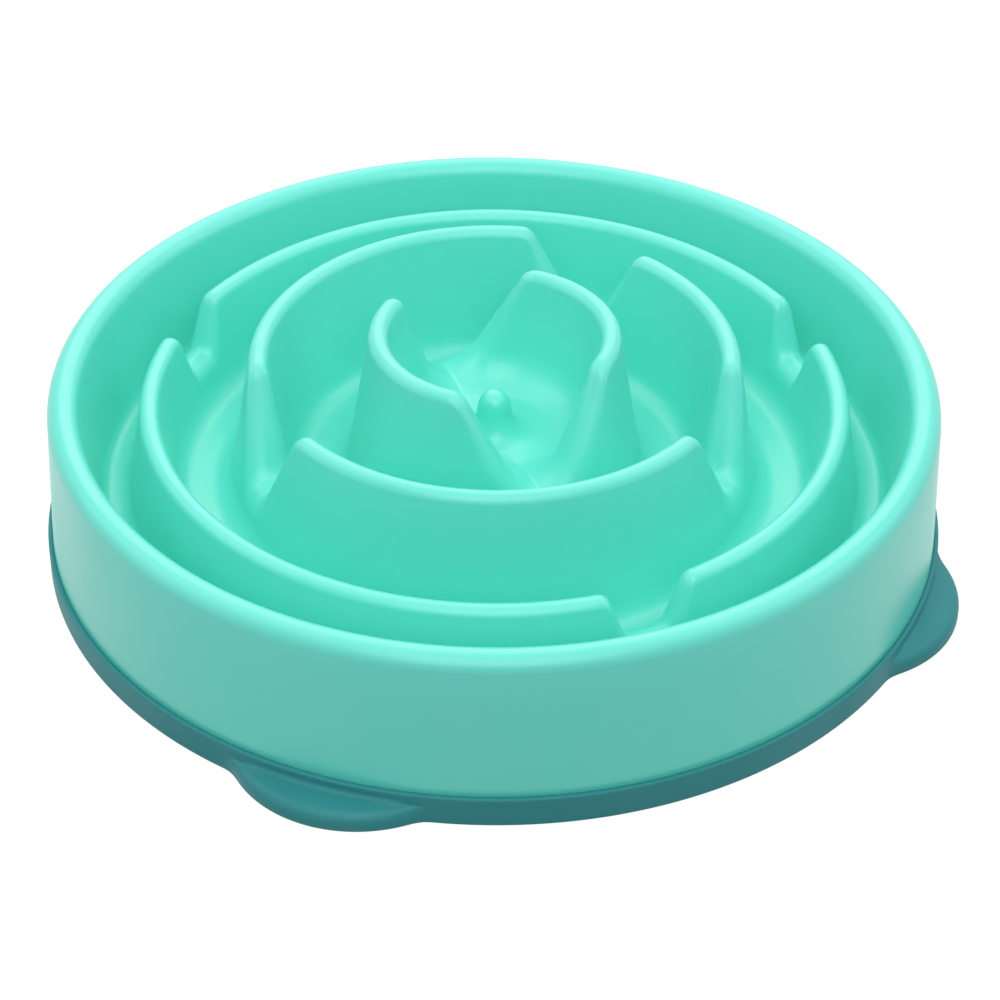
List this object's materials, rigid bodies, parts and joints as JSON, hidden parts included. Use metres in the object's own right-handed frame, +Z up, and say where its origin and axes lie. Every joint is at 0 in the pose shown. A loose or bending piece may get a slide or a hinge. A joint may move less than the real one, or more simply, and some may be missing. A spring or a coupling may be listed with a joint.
{
  "type": "slow feeder bowl",
  "caption": "Round slow feeder bowl for a pet, with curved maze ridges moulded in its floor and a soft base ring with grip tabs.",
  "frame": {"origin": "centre of the base ring's underside, on the table", "axes": "+Z up out of the bowl; the camera of the picture looks along +Y; +X to its right"},
  "size_m": [0.3038, 0.3038, 0.0786],
  "materials": {
    "bowl": "glossy moulded mint plastic",
    "base_ring": "satin soft rubber, dark teal"
  },
  "bodies": {
    "root": {"bowl": "bowl", "base_ring": "base_ring"}
  },
  "joints": []
}
